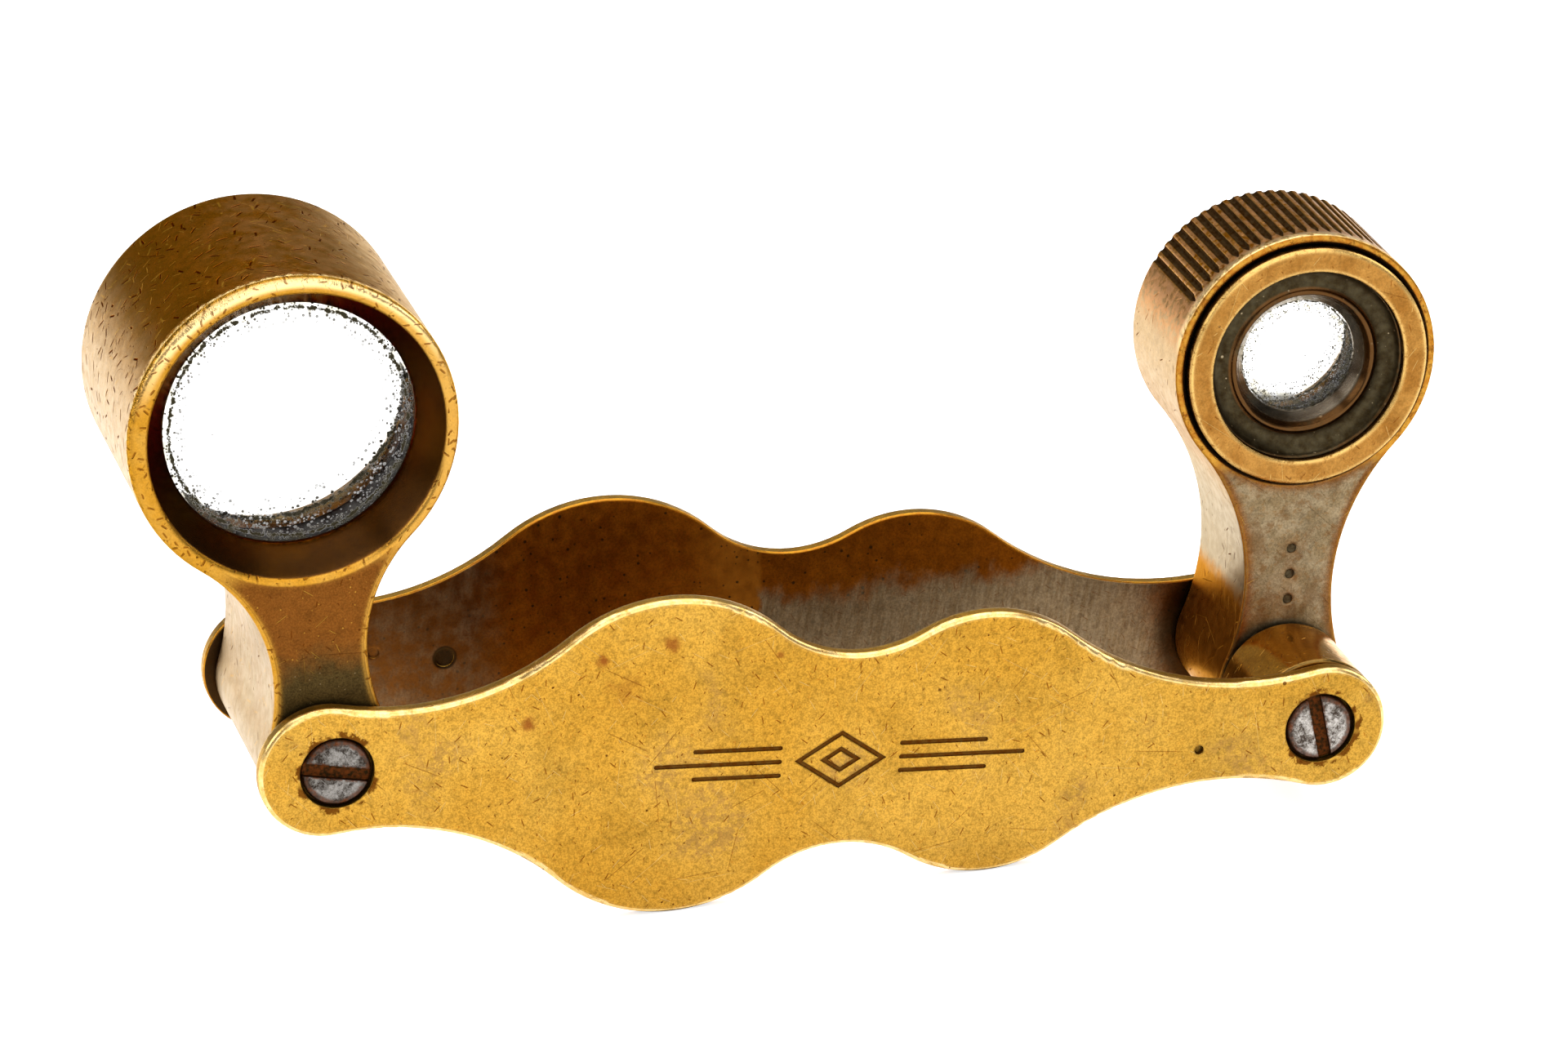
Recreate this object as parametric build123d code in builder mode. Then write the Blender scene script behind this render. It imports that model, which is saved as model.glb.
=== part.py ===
from build123d import *
from math import asin, cos, radians, sin, sqrt
import os

# Folding double loupe in brass. Two shaped plates, joined at their ends by two pivots, make an open case. A large
# lens head and a small one turn on the pivots and fold in between the plates. The case stands on its lower edges,
# with both heads raised.
#
# Millimetres. +X runs along the case, +Y from the front plate to the rear plate, +Z up. The origin is on the
# ground, in the middle of the whole object's length and depth.
# A "depth" is always the distance behind the outer face of the front plate.

# ---------------------------------------------------------------- driving dimensions

# Case. The plate outline is a row of circles on the pivot line, joined by concave arcs.
pivot_spacing = 62.0
case_depth = 17.7
plate_thickness = 1.0
large_end = (-0.6, 4.15)                 # (place along the pivot line, radius)
large_bulge = (20.6, 10.24)
small_bulge = (40.4, 8.57)
small_end = (62.3, 3.95)
plate_circles = [large_end, large_bulge, small_bulge, small_end]
plate_hollow_radii = [16.7, 7.9, 18.7]
plate_outer_fillet = 0.34
plate_inner_fillet = 0.12
drilled_pit = (54.2, -1.1, 0.3, 0.4)     # (place, height, radius, depth)
rear_dimples = [(10.4, 0.1, 0.6, 0.12), (5.9, 0.6, 0.35, 0.1)]

# Engraved ornament on the front plate: a lozenge in a lozenge, between sets of three fine rules.
ornament_centre = (31.2, -0.6)
lozenges = [(2.9, 1.9), (1.3, 0.85)]     # (half length, half height)
rule_lengths = {-0.9: 5.6, 0: 8.0, 0.9: 5.6}    # height above the ornament's centre: length
rule_start = 3.7
engraving_width = 0.28
engraving_depth = 0.12

# Pivots: a post riveted into the rear plate, and a slotted screw from the front.
post_radius = 1.75
post_tap_radius = 1.0
post_tap_depth = 8.0
rivet_radius = 1.3
rivet_gap = 0.02
screw_head_radius = 2.1
screw_head_thickness = 0.6
screw_head_edge = 0.14
screw_recess_radius = 2.28
screw_recess_depth = 0.68
screw_shank_radius = 0.97
screw_shank_length = 7.0
screw_hole_radius = 1.05
slot_width = 0.84
slot_depth = 0.34
slot_angles = [-7.5, 105.5]              # degrees from the pivot line
running_gap = 0.03
washer_radius = 3.6
washer_thickness = 0.38
spacer_radius = 4.15
spacer_edge = 0.12

# Arms, measured from their pivots.
large_arm_length = 21.08
large_arm_angle = 98.2                   # degrees from the pivot line, with the head raised
large_head_radius = 9.92
large_wall_length, large_wall_angle = 21.29, 98.76    # its outer wall is a little off the optical axis
large_arm_front = 1.4
small_arm_length = 21.2
small_arm_angle = 91.1
small_head_radius = 8.4
small_arm_front = 7.45
arm_rear = 16.3
arm_end_radius = 4.1
neck_half_width = 2.9
large_neck_place = 6.2
small_neck_place = 6.5
arm_edge_fillet = 0.3

# Large head: a conical mouth, a lip that the lens bears on, and a bore for the cell behind it.
large_mouth_radius = 8.96
large_lip_radius = 7.6
large_lip_depth = 3.8
large_seat_depth = 4.3
large_bore_radius = 8.9
large_cell_rear = 15.6
large_lens_radius = 7.85
large_lens_curves = (24.0, 14.0)         # outer and cemented surfaces
large_lens_edges = (2.6, 2.8, 2.6)       # front, centre and rear element
large_ring_radius, large_ring_opening = 8.25, 7.2
large_ring_thickness = 1.6

# Small head: a cell that screws in from the front against a rear lip, with a dished light shield.
small_bore_radius = 7.75
small_mouth_radius = 8.0
small_mouth_chamfer = 0.3
small_lip_radius = 5.6
small_lip_thickness = 1.1
small_cell_front = 6.85
small_rim_opening = 6.2
small_seat_depth = 9.3
small_lens_radius = 3.85
small_lens_curves = (9.0, 5.2)
small_lens_edges = (1.5, 1.4, 1.5)
small_ring_radius, small_ring_opening = 4.55, 3.5
small_ring_thickness = 1.1
shield_aperture = 3.65
shield_edge_step = 0.5                   # from the cell's front down to the dish's edge
shield_bead_radius = 4.5
shield_bead_depth = 7.9
shield_bead_half_width, shield_bead_height = 0.18, 0.12
shield_dish_drop = 0.25                  # the dish's floor below the top of the bead
shield_lip = 0.3

# Flutes round the tip of the small head, for the thumb, and three index dots on its neck.
flute_count = 24
flute_pitch = 5.2                        # degrees
flute_cutter_radius = 0.25
flute_cutter_lift = 0.05
flute_start = 0.5
flute_run_out = 0.9
index_dots = [5.6, 7.3, 9.0]             # places along the neck
index_dot_radius, index_dot_depth = 0.32, 0.14

# A turned piece in its seat, two cemented lens surfaces, and notches for a ring spanner.
seat_gap = 0.05
cement_gap = 0.02
rim_chamfer = 0.15
notch_width, notch_depth = 1.1, 0.5

# ---------------------------------------------------------------- frame

# The case rests on both bulges of its plates, so its pivot line dips towards the small end.
tilt = asin((large_bulge[1] - small_bulge[1]) / (small_bulge[0] - large_bulge[0]))
along = (cos(tilt), 0, -sin(tilt))       # the direction of the pivot line
across = (sin(tilt), 0, cos(tilt))       # upwards, in the plane of the plates
rear_inner = case_depth - plate_thickness


def flat_spot(length, height):
    """X and Z of a point that is given by its length and height from the large pivot."""
    return (length * along[0] + height * across[0], length * along[2] + height * across[2])


def head_spot(pivot, angle, reach):
    """Length and height of a lens head's optical axis."""
    return (pivot + reach * cos(radians(angle)), reach * sin(radians(angle)))


large_pivot, small_pivot = (0, 0), (pivot_spacing, 0)
large_head = head_spot(0, large_arm_angle, large_arm_length)
small_head = head_spot(pivot_spacing, small_arm_angle, small_arm_length)
large_wall = head_spot(0, large_wall_angle, large_wall_length)
left_edge = flat_spot(*large_wall)[0] - large_head_radius
right_edge = flat_spot(*small_head)[0] + small_head_radius
pivot_x = -(left_edge + right_edge) / 2
pivot_z = large_bulge[1] - flat_spot(large_bulge[0], 0)[1]


def place(length, height, depth):
    """A point of the object's own frame."""
    x, z = flat_spot(length, height)
    return (x + pivot_x, depth - case_depth / 2, z + pivot_z)


def flat_plane(spot, depth, angle=0):
    """A sketch plane that faces the front, its x at an angle to the pivot line. Extruding by -t goes rearwards."""
    turn = radians(angle)
    x_dir = [cos(turn) * a + sin(turn) * b for a, b in zip(along, across)]
    return Plane(origin=place(*spot, depth), x_dir=x_dir, z_dir=(0, -1, 0))


def section_plane(spot):
    """A sketch plane through a pivot or an optical axis, for turned pieces: x is the radius, y is the depth."""
    return Plane(origin=place(*spot, 0), x_dir=along, z_dir=across)


def depth_axis(spot):
    return Axis(place(*spot, 0), (0, 1, 0))


# ---------------------------------------------------------------- outlines and turned shapes


def hollow_between(first, second, radius):
    """The concave arc (x, y, radius) that touches two circles on the x axis from above."""
    (first_x, first_r), (second_x, second_r) = first, second
    span = second_x - first_x
    x = ((first_r + radius) ** 2 - (second_r + radius) ** 2 + span**2) / (2 * span)
    return (first_x + x, sqrt((first_r + radius) ** 2 - x**2), radius)


def hollow_to_neck(circle, neck_place):
    """The concave arc that touches a circle on the x axis and is level at the neck."""
    x, r = circle
    radius = ((x - neck_place) ** 2 + neck_half_width**2 - r**2) / (2 * (r - neck_half_width))
    return (neck_place, neck_half_width + radius, radius)


def joint(first, second):
    """Where two arcs of an outline meet: at the foot of both hollows, or between a circle and a hollow."""
    (xa, ya, ra), (xb, yb, rb) = first, second
    if ya and yb:
        return (xa, ya - ra)
    return (xa + (xb - xa) * ra / (ra + rb), ya + (yb - ya) * ra / (ra + rb))


def outline(arcs):
    """A closed outline, alike above and below the x axis. Arcs centred on that axis are convex."""
    first, last = arcs[0], arcs[-1]
    ends = [(first[0] - first[2], 0)]
    ends += [joint(a, b) for a, b in zip(arcs, arcs[1:])]
    ends += [(last[0] + last[2], 0)]
    with BuildSketch() as shape:
        with BuildLine():
            for start, end, (x, y, radius) in zip(ends, ends[1:], arcs):
                RadiusArc(start, end, -radius if y else radius)
            mirror(about=Plane.XZ)
        make_face()
    return shape.sketch


def arm_outline(length, head_radius, neck_place):
    end, head = (0, arm_end_radius), (length, head_radius)
    hollows = [hollow_to_neck(end, neck_place), hollow_to_neck(head, neck_place)]
    return outline([(0, 0, arm_end_radius), *hollows, (length, 0, head_radius)])


def lozenge_line(half_length, half_height):
    """An engraved line round a lozenge."""
    with BuildSketch() as shape:
        Polygon((half_length, 0), (0, half_height), (-half_length, 0), (0, -half_height))
        offset(amount=-engraving_width, mode=Mode.SUBTRACT)
    return shape.sketch


def turned(label, spot, profile, notch_reach=0):
    """A piece turned round the depth axis through spot, from a closed (radius, depth) profile.

    notch_reach is the outer radius of two spanner notches across its rear face.
    """
    rear = max(depth for radius, depth in profile)
    with BuildPart() as piece:
        with BuildSketch(section_plane(spot)):
            with BuildLine():
                Polyline(*profile, close=True)
            make_face()
        revolve(axis=depth_axis(spot))
        if notch_reach:
            with BuildSketch(flat_plane(spot, rear)):
                Rectangle(2 * notch_reach, notch_width)
            extrude(amount=notch_depth, mode=Mode.SUBTRACT)
    piece.part.label = label
    return piece.part


def ring_profile(inner, outer, front, rear, chamfer=0.0):
    """A plain ring's profile. A chamfer breaks its two outer corners."""
    if not chamfer:
        return [(inner, front), (outer, front), (outer, rear), (inner, rear)]
    return [
        (inner, front),
        (outer - chamfer, front),
        (outer, front + chamfer),
        (outer, rear - chamfer),
        (outer - chamfer, rear),
        (inner, rear),
    ]


def surface_drop(curve, radius):
    """How far a spherical surface falls back from its crown at a radius."""
    return curve - sqrt(curve**2 - radius**2)


def lens_bearing(curve, rim, opening):
    """How far a crowned surface stands out from its rim where it meets the edge of an opening."""
    return surface_drop(curve, rim) - surface_drop(curve, opening) + cement_gap


def save(part):
    export_step(part, f"parts/{part.label}.step")


os.makedirs("parts", exist_ok=True)

# ---------------------------------------------------------------- case plates

plate_arcs = []
for circle, next_circle, hollow in zip(plate_circles, plate_circles[1:], plate_hollow_radii):
    plate_arcs += [(circle[0], 0, circle[1]), hollow_between(circle, next_circle, hollow)]
plate_arcs += [(small_end[0], 0, small_end[1])]
plate_outline = outline(plate_arcs)
pivots = [large_pivot, small_pivot]

with BuildPart() as front_plate:
    with BuildSketch(flat_plane(large_pivot, 0)):
        add(plate_outline)
    extrude(amount=-plate_thickness)
    fillet(front_plate.faces().sort_by(Axis.Y)[0].edges(), plate_outer_fillet)
    fillet(front_plate.faces().sort_by(Axis.Y)[-1].edges(), plate_inner_fillet)
    for pivot in pivots:
        with BuildSketch(flat_plane(pivot, 0)):
            Circle(screw_recess_radius)
        extrude(amount=-screw_recess_depth, mode=Mode.SUBTRACT)
        with BuildSketch(flat_plane(pivot, 0)):
            Circle(screw_hole_radius)
        extrude(amount=-plate_thickness, mode=Mode.SUBTRACT)
    length, height, radius, deep = drilled_pit
    with BuildSketch(flat_plane((length, height), 0)):
        Circle(radius)
    extrude(amount=-deep, mode=Mode.SUBTRACT)
    with BuildSketch(flat_plane(ornament_centre, 0)):
        for half_length, half_height in lozenges:
            add(lozenge_line(half_length, half_height))
        for rule_height, rule_length in rule_lengths.items():
            rule_middle = rule_start + rule_length / 2
            with Locations((rule_middle, rule_height), (-rule_middle, rule_height)):
                SlotOverall(rule_length, engraving_width)
    extrude(amount=-engraving_depth, mode=Mode.SUBTRACT)
front_plate.part.label = "front_plate"
save(front_plate.part)

with BuildPart() as rear_plate:
    with BuildSketch(flat_plane(large_pivot, rear_inner)):
        add(plate_outline)
    extrude(amount=-plate_thickness)
    fillet(rear_plate.faces().sort_by(Axis.Y)[-1].edges(), plate_outer_fillet)
    fillet(rear_plate.faces().sort_by(Axis.Y)[0].edges(), plate_inner_fillet)
    for pivot in pivots:
        with BuildSketch(flat_plane(pivot, rear_inner)):
            Circle(rivet_radius + rivet_gap)
        extrude(amount=-plate_thickness, mode=Mode.SUBTRACT)
    for length, height, radius, deep in rear_dimples:
        with BuildSketch(flat_plane((length, height), rear_inner)):
            Circle(radius)
        extrude(amount=-deep, mode=Mode.SUBTRACT)
rear_plate.part.label = "rear_plate"
save(rear_plate.part)

# ---------------------------------------------------------------- pivots

# Each post runs from plate to plate, with a rivet end through the rear plate and a tapped hole in front.
post_profile = [
    (0, plate_thickness + post_tap_depth),
    (post_tap_radius, plate_thickness + post_tap_depth),
    (post_tap_radius, plate_thickness),
    (post_radius, plate_thickness),
    (post_radius, rear_inner),
    (rivet_radius, rear_inner),
    (rivet_radius, case_depth),
    (0, case_depth),
]
save(turned("large_pivot_post", large_pivot, post_profile))
save(turned("small_pivot_post", small_pivot, post_profile))

# The two screws are alike: a flat head with a broken edge and a slot, and a plain shank for the thread.
screw_front = screw_recess_depth - screw_head_thickness
screw_profile = [
    (0, screw_front),
    (screw_head_radius - screw_head_edge, screw_front),
    (screw_head_radius, screw_front + screw_head_edge),
    (screw_head_radius, screw_recess_depth),
    (screw_shank_radius, screw_recess_depth),
    (screw_shank_radius, screw_recess_depth + screw_shank_length),
    (0, screw_recess_depth + screw_shank_length),
]
with BuildPart() as pivot_screws:
    for pivot, slot_angle in zip(pivots, slot_angles):
        with BuildSketch(section_plane(pivot)):
            with BuildLine():
                Polyline(*screw_profile, close=True)
            make_face()
        revolve(axis=depth_axis(pivot))
        with BuildSketch(flat_plane(pivot, screw_front, slot_angle)):
            Rectangle(3 * screw_head_radius, slot_width)
        extrude(amount=-slot_depth, mode=Mode.SUBTRACT)
pivot_screws.part.label = "pivot_screws"
save(pivot_screws.part)

# A washer on each side of each arm, and a spacer that holds the thinner small arm back from the front plate.
spacer_rear = small_arm_front - washer_thickness - cement_gap
washer_fronts = {
    "large_front_washer": (large_pivot, plate_thickness),
    "large_rear_washer": (large_pivot, rear_inner - washer_thickness),
    "small_front_washer": (small_pivot, spacer_rear),
    "small_rear_washer": (small_pivot, rear_inner - washer_thickness),
}
for label, (pivot, front) in washer_fronts.items():
    profile = ring_profile(post_radius + running_gap, washer_radius, front, front + washer_thickness)
    save(turned(label, pivot, profile))
profile = ring_profile(post_radius + running_gap, spacer_radius, plate_thickness, spacer_rear, spacer_edge)
save(turned("small_arm_spacer", small_pivot, profile))

# ---------------------------------------------------------------- arms

large_arm_outline = arm_outline(large_wall_length, large_head_radius, large_neck_place)
with BuildPart() as large_arm:
    with BuildSketch(flat_plane(large_pivot, large_arm_front, large_wall_angle)):
        add(large_arm_outline)
    extrude(amount=-(arm_rear - large_arm_front))
    fillet(large_arm.faces().sort_by(Axis.Y)[0].edges(), arm_edge_fillet)
    fillet(large_arm.faces().sort_by(Axis.Y)[-1].edges(), arm_edge_fillet)
    with BuildSketch(section_plane(large_head)):
        with BuildLine():
            Polyline(
                (0, large_arm_front),
                (large_mouth_radius + rim_chamfer, large_arm_front),
                (large_mouth_radius, large_arm_front + rim_chamfer),
                (large_lip_radius, large_lip_depth),
                (large_lip_radius, large_seat_depth),
                (large_bore_radius, large_seat_depth),
                (large_bore_radius, arm_rear - rim_chamfer),
                (large_bore_radius + rim_chamfer, arm_rear),
                (0, arm_rear),
                close=True,
            )
        make_face()
    revolve(axis=depth_axis(large_head), mode=Mode.SUBTRACT)
    with BuildSketch(flat_plane(large_pivot, large_arm_front)):
        Circle(post_radius + running_gap)
    extrude(amount=-(arm_rear - large_arm_front), mode=Mode.SUBTRACT)
large_arm.part.label = "large_arm"
save(large_arm.part)

# One bullet-shaped cutter for each flute. Its pointed front end makes the flute run out before the rim.
flute_tip = small_arm_front + flute_start
flute_reach = small_head_radius + flute_cutter_lift
with BuildPart() as flute_cutters:
    for number in range(flute_count):
        angle = small_arm_angle + flute_pitch * (number - (flute_count - 1) / 2)
        spot = head_spot(small_head[0], angle, flute_reach)
        spot = (spot[0], spot[1] + small_head[1])
        with BuildSketch(section_plane(spot)):
            with BuildLine():
                Polyline(
                    (0, flute_tip),
                    (flute_cutter_radius, flute_tip + flute_run_out),
                    (flute_cutter_radius, case_depth),
                    (0, case_depth),
                    close=True,
                )
            make_face()
        revolve(axis=depth_axis(spot))

small_arm_outline = arm_outline(small_arm_length, small_head_radius, small_neck_place)
with BuildPart() as small_arm:
    with BuildSketch(flat_plane(small_pivot, small_arm_front, small_arm_angle)):
        add(small_arm_outline)
    extrude(amount=-(arm_rear - small_arm_front))
    fillet(small_arm.faces().sort_by(Axis.Y)[0].edges(), arm_edge_fillet / 2)
    fillet(small_arm.faces().sort_by(Axis.Y)[-1].edges(), arm_edge_fillet)
    with BuildSketch(section_plane(small_head)):
        with BuildLine():
            Polyline(
                (0, small_arm_front),
                (small_mouth_radius, small_arm_front),
                (small_bore_radius, small_arm_front + small_mouth_chamfer),
                (small_bore_radius, arm_rear - small_lip_thickness),
                (small_lip_radius, arm_rear - small_lip_thickness),
                (small_lip_radius, arm_rear - rim_chamfer),
                (small_lip_radius + rim_chamfer, arm_rear),
                (0, arm_rear),
                close=True,
            )
        make_face()
    revolve(axis=depth_axis(small_head), mode=Mode.SUBTRACT)
    with BuildSketch(flat_plane(small_pivot, small_arm_front)):
        Circle(post_radius + running_gap)
    extrude(amount=-(arm_rear - small_arm_front), mode=Mode.SUBTRACT)
    with BuildSketch(flat_plane(small_pivot, small_arm_front, small_arm_angle)):
        with Locations(*[(dot_place, 0) for dot_place in index_dots]):
            Circle(index_dot_radius)
    extrude(amount=-index_dot_depth, mode=Mode.SUBTRACT)
    add(flute_cutters.part, mode=Mode.SUBTRACT)
small_arm.part.label = "small_arm"
save(small_arm.part)

# ---------------------------------------------------------------- lens cells, rings and shield

large_curve = large_lens_curves[0]
large_lens_front = large_seat_depth + lens_bearing(large_curve, large_lens_radius, large_lip_radius)
large_lens_rear = large_lens_front + sum(large_lens_edges) + 2 * cement_gap
large_ring_front = large_lens_rear + lens_bearing(large_curve, large_lens_radius, large_ring_opening)
large_cell_bore = large_lens_radius + seat_gap
large_thread_radius = large_ring_radius + seat_gap
large_cell_profile = [
    (large_cell_bore, large_lens_front),
    (large_bore_radius - seat_gap, large_lens_front),
    (large_bore_radius - seat_gap, large_cell_rear - rim_chamfer),
    (large_bore_radius - seat_gap - rim_chamfer, large_cell_rear),
    (large_thread_radius, large_cell_rear),
    (large_thread_radius, large_lens_rear),
    (large_cell_bore, large_lens_rear),
]
save(turned("large_lens_cell", large_head, large_cell_profile))
large_ring_profile = ring_profile(
    large_ring_opening, large_ring_radius, large_ring_front, large_ring_front + large_ring_thickness
)
save(turned("large_retaining_ring", large_head, large_ring_profile, large_ring_radius + 1))

small_curve = small_lens_curves[0]
small_lens_front = small_seat_depth + lens_bearing(small_curve, small_lens_radius, shield_aperture)
small_lens_rear = small_lens_front + sum(small_lens_edges) + 2 * cement_gap
small_ring_front = small_lens_rear + lens_bearing(small_curve, small_lens_radius, small_ring_opening)
small_cell_radius = small_bore_radius - seat_gap
small_cell_rear = arm_rear - small_lip_thickness - seat_gap
small_cell_bore = small_lens_radius + seat_gap
small_thread_radius = small_ring_radius + seat_gap
small_cell_profile = [
    (small_rim_opening + rim_chamfer / 2, small_cell_front),
    (small_cell_radius - rim_chamfer, small_cell_front),
    (small_cell_radius, small_cell_front + rim_chamfer),
    (small_cell_radius, small_cell_rear),
    (small_thread_radius, small_cell_rear),
    (small_thread_radius, small_lens_rear),
    (small_cell_bore, small_lens_rear),
    (small_cell_bore, small_seat_depth),
    (small_rim_opening, small_seat_depth),
    (small_rim_opening, small_cell_front + rim_chamfer / 2),
]
save(turned("small_lens_cell", small_head, small_cell_profile))
small_ring_profile = ring_profile(
    small_ring_opening, small_ring_radius, small_ring_front, small_ring_front + small_ring_thickness
)
save(turned("small_retaining_ring", small_head, small_ring_profile, small_ring_radius + 1))

# The shield is a shallow dish with a raised bead, then a funnel down to the lens.
shield_radius = small_rim_opening - seat_gap
shield_edge_depth = small_cell_front + shield_edge_step
shield_floor_depth = shield_bead_depth + shield_dish_drop
shield_rear = small_seat_depth - cement_gap
bead_foot_depth = shield_bead_depth + shield_bead_height
with BuildPart() as small_light_shield:
    with BuildSketch(section_plane(small_head)):
        with BuildLine():
            bead_outer = (shield_bead_radius + shield_bead_half_width, bead_foot_depth)
            bead_inner = (shield_bead_radius - shield_bead_half_width, bead_foot_depth)
            Polyline((shield_aperture, shield_rear), (shield_radius, shield_rear), (shield_radius, shield_edge_depth))
            ThreePointArc(
                (shield_radius, shield_edge_depth),
                ((shield_radius + bead_outer[0]) / 2, shield_floor_depth),
                bead_outer,
            )
            ThreePointArc(bead_outer, (shield_bead_radius, shield_bead_depth), bead_inner)
            Polyline(
                bead_inner,
                (shield_aperture, shield_rear - shield_lip),
                (shield_aperture, shield_rear),
            )
        make_face()
    revolve(axis=depth_axis(small_head))
small_light_shield.part.label = "small_light_shield"
save(small_light_shield.part)

# ---------------------------------------------------------------- lenses


def surface_points(rim, edge_depth, curve):
    """Three points of a lens surface's section, from axis to rim. A positive curve is crowned to the front."""
    side = 1 if curve > 0 else -1
    crown = edge_depth - side * surface_drop(abs(curve), rim)
    middle = (rim / 2, crown + side * surface_drop(abs(curve), rim / 2))
    return (0, crown), middle, (rim, edge_depth)


def lens_element(label, spot, rim, front, edge, curves):
    """One element, from its front edge's depth, its edge thickness and its two signed curves."""
    front_points = surface_points(rim, front, curves[0])
    rear_points = surface_points(rim, front + edge, curves[1])
    with BuildPart() as element:
        with BuildSketch(section_plane(spot)):
            with BuildLine():
                ThreePointArc(*front_points)
                Line(front_points[-1], rear_points[-1])
                ThreePointArc(*rear_points)
                Line(front_points[0], rear_points[0])
            make_face()
        revolve(axis=depth_axis(spot))
    element.part.label = label
    return element.part


def triplet(size, spot, rim, front, edges, outer_curve, cemented_curve):
    """A cemented triplet: a crowned element between two thin menisci."""
    curves = [(outer_curve, cemented_curve), (cemented_curve, -cemented_curve), (-cemented_curve, -outer_curve)]
    for where, edge, pair in zip(("front", "centre", "rear"), edges, curves):
        save(lens_element(f"{size}_{where}_element", spot, rim, front, edge, pair))
        front += edge + cement_gap


triplet("large", large_head, large_lens_radius, large_lens_front, large_lens_edges, *large_lens_curves)
triplet("small", small_head, small_lens_radius, small_lens_front, small_lens_edges, *small_lens_curves)
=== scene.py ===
"""A folding double loupe in old brass: finishes, glass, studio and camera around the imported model."""

import math
from types import SimpleNamespace

import bmesh
import bpy
from mathutils import Matrix, Vector


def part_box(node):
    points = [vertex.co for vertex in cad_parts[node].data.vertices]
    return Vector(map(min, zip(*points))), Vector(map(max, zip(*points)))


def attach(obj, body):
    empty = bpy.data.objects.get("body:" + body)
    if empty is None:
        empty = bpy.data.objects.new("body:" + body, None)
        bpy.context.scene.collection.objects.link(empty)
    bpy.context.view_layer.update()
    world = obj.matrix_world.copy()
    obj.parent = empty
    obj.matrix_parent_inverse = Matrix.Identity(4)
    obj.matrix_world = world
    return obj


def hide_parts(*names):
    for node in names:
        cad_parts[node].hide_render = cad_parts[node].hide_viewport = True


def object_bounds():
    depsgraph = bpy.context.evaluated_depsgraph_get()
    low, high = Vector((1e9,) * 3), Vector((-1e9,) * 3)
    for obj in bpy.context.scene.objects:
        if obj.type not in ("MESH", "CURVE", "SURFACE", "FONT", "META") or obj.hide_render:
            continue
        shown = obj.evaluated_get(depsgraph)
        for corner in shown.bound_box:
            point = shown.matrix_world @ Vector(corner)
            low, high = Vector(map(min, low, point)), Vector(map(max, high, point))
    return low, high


MM = 0.001

# Colours of the metals, as linear red, green and blue.
GOLD = (0.49, 0.262, 0.032)
GOLD_PALE = (0.56, 0.322, 0.055)
GOLD_DEEP = (0.42, 0.196, 0.016)
GOLD_RIM = (0.47, 0.24, 0.032)
GOLD_WORN = (0.68, 0.44, 0.14)
# Bright bare gold, for chipped edges and for the painted highlight on the large rim.
GOLD_CHIPPED_AND_HIGHLIGHT = (0.86, 0.62, 0.28)
STAIN = (0.16, 0.035, 0.006)
SMUDGE = (0.20, 0.105, 0.035)
PATINA = (0.25, 0.073, 0.004)
PATINA_LIGHT = (0.36, 0.135, 0.014)
PATINA_DARK = (0.14, 0.036, 0.001)
# Pale oxide, painted on the side walls as the sheen they reflect.
PATINA_SHEEN = (0.50, 0.34, 0.16)
PATINA_NECK = (0.085, 0.036, 0.010)
PATINA_BORE = (0.135, 0.054, 0.008)
UMBER = (0.075, 0.0175, 0.0008)
ENGRAVED = (0.085, 0.035, 0.006)
COPPER = (0.55, 0.25, 0.08)
HAZE = (0.34, 0.17, 0.075)
PATINA_SHADED = (0.34, 0.112, 0.009)
PATINA_INNER = (0.205, 0.056, 0.003)
# Grey tarnish, also used for the painted sheen on the arms' walls.
TARNISH_AND_SHEEN = (0.30, 0.235, 0.14)
TARNISH_DARK = (0.20, 0.145, 0.075)
TARNISH_GREEN = (0.060, 0.043, 0.014)
# Black-brown, for blackened brass and for painted shade in bores and flutes.
BLACKENED_AND_SHADE = (0.050, 0.040, 0.022)
FUNNEL = (0.20, 0.17, 0.13)
# Near black, for dirt and for painted shade in corners and grooves.
GRIME_AND_SHADE = (0.016, 0.009, 0.003)
CELL_LIGHT = (0.36, 0.175, 0.038)
CELL_DEEP = (0.25, 0.105, 0.018)
SPACER_LIGHT = (0.62, 0.28, 0.03)
SPACER_DEEP = (0.46, 0.18, 0.012)
STEEL = (0.40, 0.375, 0.345)
STEEL_MIDDLE = (0.20, 0.18, 0.155)
STEEL_DARK = (0.035, 0.025, 0.019)
RUST = (0.085, 0.023, 0.005)
GLASS_DIRT = (0.032, 0.027, 0.015)
GLASS_FILM = (0.46, 0.42, 0.30)

# Reflections at a glancing angle: warm on oxide, pale on the side walls that carry the painted sheen, dim in
# the bores and scratches, olive on glass and blacking, yellow on gold, and neutral on steel.
WARM = (1.0, 0.78, 0.45)
PALE = (1.0, 0.95, 0.86)
DIM = (0.34, 0.25, 0.16)
OLIVE = (0.30, 0.25, 0.12)
YELLOW = (1.0, 0.92, 0.74)
NEUTRAL = (1.0, 1.0, 1.0)

# Radii in millimetres: the outer surfaces of the two cemented lenses, just outside the large head's mouth,
# the small head with its flutes, and the crest of the light shield's bead.
LARGE_LENS_CURVE = 24.0
SMALL_LENS_CURVE = 9.0
LARGE_MOUTH = 9.0
SMALL_HEAD = 8.4
SHIELD_BEAD = 4.5

# How much of the light the thickest film on the lenses takes.
FILM = 0.13

# Faces round the lenses.
ROUND_STEPS = 160

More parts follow.
